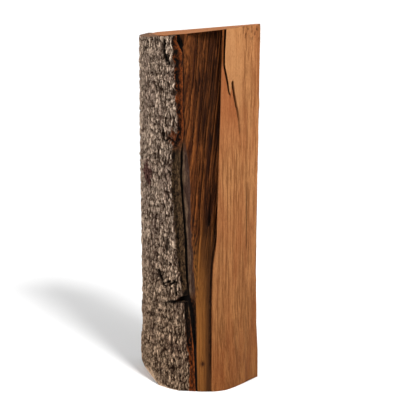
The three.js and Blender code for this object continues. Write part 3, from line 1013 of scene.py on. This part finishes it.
def split_wood_material(settings):
    """Split wood along the grain: pale face, dark torn hollow, grey weathered strip, and painted shadow,
    near black, in its cracks, pits and gaps.
    """
    nodes = Nodes("split wood", settings)
    bands = nodes.grain((2.4, 2.4, 90), 3.0, 0.6)
    streaks = nodes.grain((1.0, 1.0, 18), 4.0, 0.62, shift=1.0)
    hairs = nodes.grain((0.45, 0.45, 5), 2.0, 0.6, shift=3.0)
    clouds = nodes.grain((14, 14, 70), 2.0, 0.5, shift=7.0)
    specks = nodes.grain((0.6, 0.6, 2.6), 3.0, 0.6, shift=5.0)
    lines = nodes.total((bands, 0.5), (streaks, 0.5))
    face = face_colour(nodes, lines, clouds, hairs, specks)
    colour = nodes.mix(nodes.trait("torn"), face, torn_colour(nodes, lines, streaks))
    grey = nodes.mix(nodes.trait("strip_side"), "weathered_light", "weathered_dark")
    grey = nodes.tint(nodes.spread(specks, 0.42, 0.62), grey, (0.50, 0.44, 0.40))
    grey = nodes.tint(nodes.spread(streaks, 0.50, 0.60), grey, (0.45, 0.38, 0.36))
    colour = nodes.mix(nodes.trait("weathered"), colour, grey)
    colour = nodes.mix(nodes.trait("fresh"), colour, "fresh")
    colour = nodes.mix(nodes.trait("frayed"), colour, "frayed")
    # Painted shadow in the slits, the pit and the groove by the step.
    colour = nodes.tint(nodes.trait("slit"), colour, (0.12, 0.08, 0.06))
    # Painted shadow: the near-black crack colour in cracks, pits, holes and the gap beside the bark.
    colour = nodes.mix(nodes.trait("crack"), colour, "crack")
    # Painted shade under the bark's edge.
    colour = nodes.tint(nodes.trait("hidden"), colour, (0.25, 0.20, 0.18))
    roughness = nodes.total((hairs, 0.25), (0.55, 1))
    height = nodes.total((specks, 1.1), (hairs, 0.6), (streaks, 1))
    return nodes.finish(colour, roughness, height, 0.5, 0.06)


def sawn_end_material(settings):
    """Sawn end grain: growth rings round the pith, fine saw marks and darker blotches."""
    nodes = Nodes("sawn end grain", settings)
    rings = nodes.rings(2.6, 9.0)
    pores = nodes.grain((0.5, 0.5, 0.5), 2.0, 0.6)
    blotches = nodes.grain((6, 6, 6), 4.0, 0.65, shift=2.0)
    saw = nodes.grain((18, 0.7, 18), 2.0, 0.5, shift=5.0)
    colour = nodes.mix(nodes.spread(rings, 0.35, 1.0), "end_pale", "end_dark", 0.42)
    colour = nodes.mix(nodes.spread(blotches, 0.45, 0.75), colour, "end_dark", 0.5)
    colour = nodes.tint(nodes.spread(pores, 0.55, 0.8), colour, (0.55, 0.42, 0.34), 0.5)
    colour = nodes.tint(nodes.spread(saw, 0.5, 0.75), colour, (0.70, 0.60, 0.52), 0.25)
    roughness = nodes.total((pores, 0.2), (0.65, 1))
    return nodes.finish(colour, roughness, nodes.total((rings, 0.3), (pores, 1), (saw, 1)), 0.3, 0.2)


def bark_material(settings):
    """Flaky bark: small pale flakes on a dark brown ground, furrows darkened partly as painted shade, black
    painted shadow in the cracks, and a reddish patch.
    """
    nodes = Nodes("flaky bark", settings)
    flakes = nodes.grain((0.80, 0.80, 5.2), 4.0, 0.66, 0.25)
    specks = nodes.grain((0.45, 0.45, 1.0), 2.0, 0.6, shift=2.0)
    patches = nodes.grain((16, 16, 34), 2.0, 0.5, shift=4.0)
    pale = nodes.total((flakes, 1), (nodes.trait("flake"), -0.14), (specks, 0.08))
    colour = nodes.mix(nodes.spread(pale, 0.385, 0.565), "flake_dark", "flake_pale")
    colour = nodes.mix(nodes.spread(patches, 0.48, 0.66), colour, "bark_red", 0.3)
    colour = nodes.tint(nodes.trait("low"), colour, (0.82, 0.74, 0.64))
    colour = nodes.tint(nodes.trait("patch"), colour, (0.34, 0.22, 0.24))
    # Partly the furrows' own darker colour, partly painted shade.
    colour = nodes.tint(nodes.trait("furrow"), colour, "furrow")
    colour = nodes.mix(nodes.trait("broken"), colour, broken_bark_colour(nodes, specks))
    # Painted shadow, near black, in the cracks, the broken edge's groove and hollow, and the crack between
    # the slabs.
    colour = nodes.mix(nodes.trait("black"), colour, "crack")
    roughness = nodes.total((specks, 0.2), (0.75, 1))
    return nodes.finish(colour, roughness, nodes.total((flakes, 1.6), (specks, 0.6)), 0.9, 0.04)


def broken_bark_colour(nodes, specks):
    """The bark's broken edge: olive brown, and red brown where the inner bark is fresh and crumbly."""
    fibres = nodes.grain((1.1, 1.1, 7), 3.0, 0.6, shift=9.0)
    mixed = nodes.total((fibres, 0.6), (specks, 0.5))
    olive = nodes.mix(nodes.spread(mixed, 0.46, 0.64), "broken_dark", "broken_olive")
    red = nodes.mix(nodes.spread(mixed, 0.42, 0.68), "broken_dark", "broken_red")
    red = nodes.mix(nodes.trait("crumb"), red, "broken_red", 0.5)
    return nodes.mix(nodes.trait("inner_red"), olive, red)


def bark_end_material(settings):
    """The ends of a slab of bark, in thin layers from the wood out."""
    nodes = Nodes("bark ends", settings)
    specks = nodes.grain((0.7, 0.7, 1.4), 3.0, 0.65)
    colour = nodes.mix(nodes.spread(nodes.rings(1.7, 4.0), 0.2, 0.9), "end_pale", "end_dark")
    colour = nodes.tint(nodes.spread(specks, 0.45, 0.65), colour, (0.40, 0.34, 0.30))
    return nodes.finish(colour, 0.9, specks, 0.5, 0.12)


def plain_material(name, colour, roughness):
    """One plain colour."""
    nodes = Nodes(name)
    nodes.wire(nodes.shader.inputs["Base Color"], colour)
    nodes.shader.inputs["Roughness"].default_value = roughness
    return nodes.material


# ---------------------------------------------------------------- settings that a user can change

def colour_setting(label, about, red, green, blue):
    """A colour that a user can change, with its first value from 0 to 255."""
    return FloatVectorProperty(name=label, description=about, subtype="COLOR", size=3, min=0, max=1,
                               default=linear(red, green, blue))


class SplitLogWood(bpy.types.PropertyGroup):
    """The wood's sizes and colours."""

    torn_depth: FloatProperty(name="Torn depth", description="How deep the torn slivers are, as a factor",
                              default=1.0, min=0, max=2)
    face_pale: colour_setting("Pale face", "The palest streaks of the smooth split face", 161, 111, 69)
    face_dark: colour_setting("Dark face", "The darkest streaks of the smooth split face", 118, 75, 42)
    face_red: colour_setting("Red face", "The redder clouds, and the layer under the splinter", 134, 76, 42)
    flap_pale: colour_setting("Pale splinter", "The yellower wood of the lifted splinter", 164, 118, 76)
    torn_light: colour_setting("Light slivers", "The lightest slivers in the torn hollow", 121, 68, 30)
    torn_dark: colour_setting("Dark slivers", "The darkest slivers in the torn hollow", 54, 29, 11)
    smooth_brown: colour_setting("Smooth hollow", "The smooth lower part of the hollow", 114, 70, 29)
    smooth_dark: colour_setting("Smooth hollow, dark", "Its darker right side", 60, 33, 11)
    weathered_light: colour_setting("Light weathered", "The bare outer wood beside the bark", 100, 80, 62)
    weathered_dark: colour_setting("Dark weathered", "Its darker side", 60, 42, 34)
    fresh: colour_setting("Bare foot", "The wood where the bark's foot is chipped away", 186, 108, 66)
    frayed: colour_setting("Frayed rim", "The fresh rim of the top saw cut", 146, 80, 38)
    end_pale: colour_setting("Pale end grain", "The sawn ends between the rings", 160, 104, 64)
    end_dark: colour_setting("Dark end grain", "The sawn ends' late wood", 132, 74, 36)
    # A near-black colour that paints the shadow in cracks, pits and gaps.
    crack: colour_setting("Cracks", "The bottoms of cracks and pits", 17, 9, 5)


class SplitLogBark(bpy.types.PropertyGroup):
    """The bark's sizes and colours."""

    flake_depth: FloatProperty(name="Flake depth", description="How deep the flakes are, as a factor",
                               default=1.0, min=0, max=2)
    flake_pale: colour_setting("Pale flakes", "The palest flakes", 224, 198, 174)
    flake_dark: colour_setting("Dark flakes", "The ground between the flakes", 86, 66, 53)
    bark_red: colour_setting("Red patches", "The patches of redder bark", 118, 92, 84)
    # Partly the furrows' own darker colour, partly painted shade in them.
    furrow: colour_setting("Furrows", "How much darker the furrows are", 84, 72, 66)
    broken_olive: colour_setting("Olive break", "The old broken edge", 84, 64, 43)
    broken_red: colour_setting("Red break", "The crumbly inner bark", 124, 60, 22)
    broken_dark: colour_setting("Dark break", "The dark parts of the broken edge", 30, 18, 12)
    end_pale: colour_setting("Pale bark end", "The pale layers of the bark's ends", 136, 102, 78)
    end_dark: colour_setting("Dark bark end", "The dark layers of the bark's ends", 82, 60, 46)
    # A near-black colour that paints the shadow in cracks.
    crack: colour_setting("Cracks", "The bottoms of cracks", 14, 8, 5)


class SplitLogStage(bpy.types.PropertyGroup):
    """The stage's light and camera."""

    floor: colour_setting("Floor", "The plain floor", 245, 245, 245)
    key_strength: FloatProperty(name="Key light", description="The broad light from the front, to the right",
                                default=2.6, min=0)
    fill_strength: FloatProperty(name="Fill light", description="The broad light from the left",
                                 default=1.7, min=0)
    top_power: FloatProperty(name="Top light", description="The soft lamp above the log",
                             default=6.0, min=0, unit="POWER")
    sky: FloatProperty(name="Surroundings", description="The strength of the even light all round",
                       default=0.5, min=0)
    camera_distance: FloatProperty(name="Camera distance", description="From the log's middle, level",
                                   default=1.31315, min=0.1, unit="LENGTH")
    camera_height: FloatProperty(name="Camera height", description="Over the floor",
                                 default=0.467, unit="LENGTH")
    camera_pitch: FloatProperty(name="Camera pitch", description="How far it looks down",
                                default=math.radians(11.6), unit="ROTATION")
    lens: FloatProperty(name="Lens", description="Focal length for a film 36 mm wide", default=102.8,
                        min=10, unit="CAMERA")


# ---------------------------------------------------------------- operators

class SPLITLOG_OT_wood(bpy.types.Operator):
    """Build the split wood with its torn hollow, smooth face and saw cuts"""

    bl_idname = "split_log.wood"
    bl_label = "Split Wood"

    def execute(self, context):
        build_wood(context.scene.split_log_wood)
        return {"FINISHED"}


class SPLITLOG_OT_bark(bpy.types.Operator):
    """Build the upper and lower slabs of bark"""

    bl_idname = "split_log.bark"
    bl_label = "Bark Slabs"

    def execute(self, context):
        settings = context.scene.split_log_bark
        radii = bark_radii()
        build_slab("bark_upper_detail", "bark_upper", UPPER_ROWS, radii, settings, True)
        build_slab("bark_lower_detail", "bark_lower", LOWER_ROWS, radii, settings, False)
        return {"FINISHED"}


class SPLITLOG_OT_stage(bpy.types.Operator):
    """Set up the plain floor, the soft lights and the camera"""

    bl_idname = "split_log.stage"
    bl_label = "Stage"

    def execute(self, context):
        settings = context.scene.split_log_stage
        add_floor(settings)
        add_lights(context.scene, settings)
        add_camera(context.scene, settings)
        return {"FINISHED"}


def add_floor(settings):
    """A wide plain floor at the height that the log stands on."""
    mesh = bpy.data.meshes.new("floor")
    half = 25.0
    corners = [(-half, -half, 0), (half, -half, 0), (half, half, 0), (-half, half, 0)]
    mesh.from_pydata(corners, [], [(0, 1, 2, 3)])
    mesh.materials.append(plain_material("plain floor", tuple(settings.floor), 0.8))
    floor = bpy.data.objects.new("floor", mesh)
    bpy.context.scene.collection.objects.link(floor)


def add_light(name, kind, strength, place, width):
    """A soft light that looks at the log's middle from a place. A sun's width is an angle."""
    light = bpy.data.lights.new(name, kind)
    light.energy = strength
    if kind == "SUN":
        light.angle = width
    else:
        light.size = width
    holder = bpy.data.objects.new(name, light)
    holder.location = place
    target = Vector((0, 0, TOTAL_HEIGHT * MM * 0.5))
    holder.rotation_euler = (target - Vector(place)).to_track_quat("-Z", "Y").to_euler()
    bpy.context.scene.collection.objects.link(holder)


def add_lights(scene, settings):
    """Even pale surroundings, a broad key light, a weaker one from the left, and a soft lamp above."""
    world = bpy.data.worlds.new("pale room")
    world.use_nodes = True
    background = world.node_tree.nodes["Background"]
    background.inputs["Color"].default_value = (1, 1, 1, 1)
    background.inputs["Strength"].default_value = settings.sky
    scene.world = world
    add_light("key light", "SUN", settings.key_strength, (1.2, -2.2, 2.4), math.radians(12))
    add_light("fill light", "SUN", settings.fill_strength, (-2.4, -1.6, 1.5), math.radians(24))
    add_light("top lamp", "AREA", settings.top_power, (0.45, -0.75, 0.95), 0.5)
    scene.view_settings.view_transform = "Standard"


def add_camera(scene, settings):
    """The camera, level with the log's top and looking a little down."""
    camera = bpy.data.objects.new("camera", bpy.data.cameras.new("camera"))
    camera.data.lens = settings.lens
    camera.data.sensor_width = 36.0
    camera.location = (9.1 * MM, -settings.camera_distance, settings.camera_height)
    camera.rotation_euler = (math.radians(90) - settings.camera_pitch, 0, 0)
    scene.collection.objects.link(camera)
    scene.camera = camera


class SPLITLOG_PT_panel(bpy.types.Panel):
    """The split log's operators and settings"""

    bl_idname = "SPLITLOG_PT_panel"
    bl_label = "Split Log"
    bl_space_type = "VIEW_3D"
    bl_region_type = "UI"
    bl_category = "Split Log"

    def draw(self, context):
        for name, operator in PARTS:
            box = self.layout.box()
            settings = getattr(context.scene, name)
            for prop in settings.bl_rna.properties:
                if prop.identifier not in ("rna_type", "name"):
                    box.prop(settings, prop.identifier)
            box.operator(operator.bl_idname)


GROUPS = (("split_log_wood", SplitLogWood), ("split_log_bark", SplitLogBark),
          ("split_log_stage", SplitLogStage))
OPERATORS = (SPLITLOG_OT_wood, SPLITLOG_OT_bark, SPLITLOG_OT_stage)
PARTS = tuple((name, operator) for (name, _), operator in zip(GROUPS, OPERATORS))


def register():
    for name, group in GROUPS:
        bpy.utils.register_class(group)
        setattr(bpy.types.Scene, name, PointerProperty(type=group))
    for item in (*OPERATORS, SPLITLOG_PT_panel):
        bpy.utils.register_class(item)


def unregister():
    for item in (SPLITLOG_PT_panel, *reversed(OPERATORS)):
        bpy.utils.unregister_class(item)
    for name, group in reversed(GROUPS):
        delattr(bpy.types.Scene, name)
        bpy.utils.unregister_class(group)


def main():
    """Builds everything in order."""
    register()
    bpy.ops.split_log.wood()
    bpy.ops.split_log.bark()
    bpy.ops.split_log.stage()


if __name__ == "__main__":
    main()
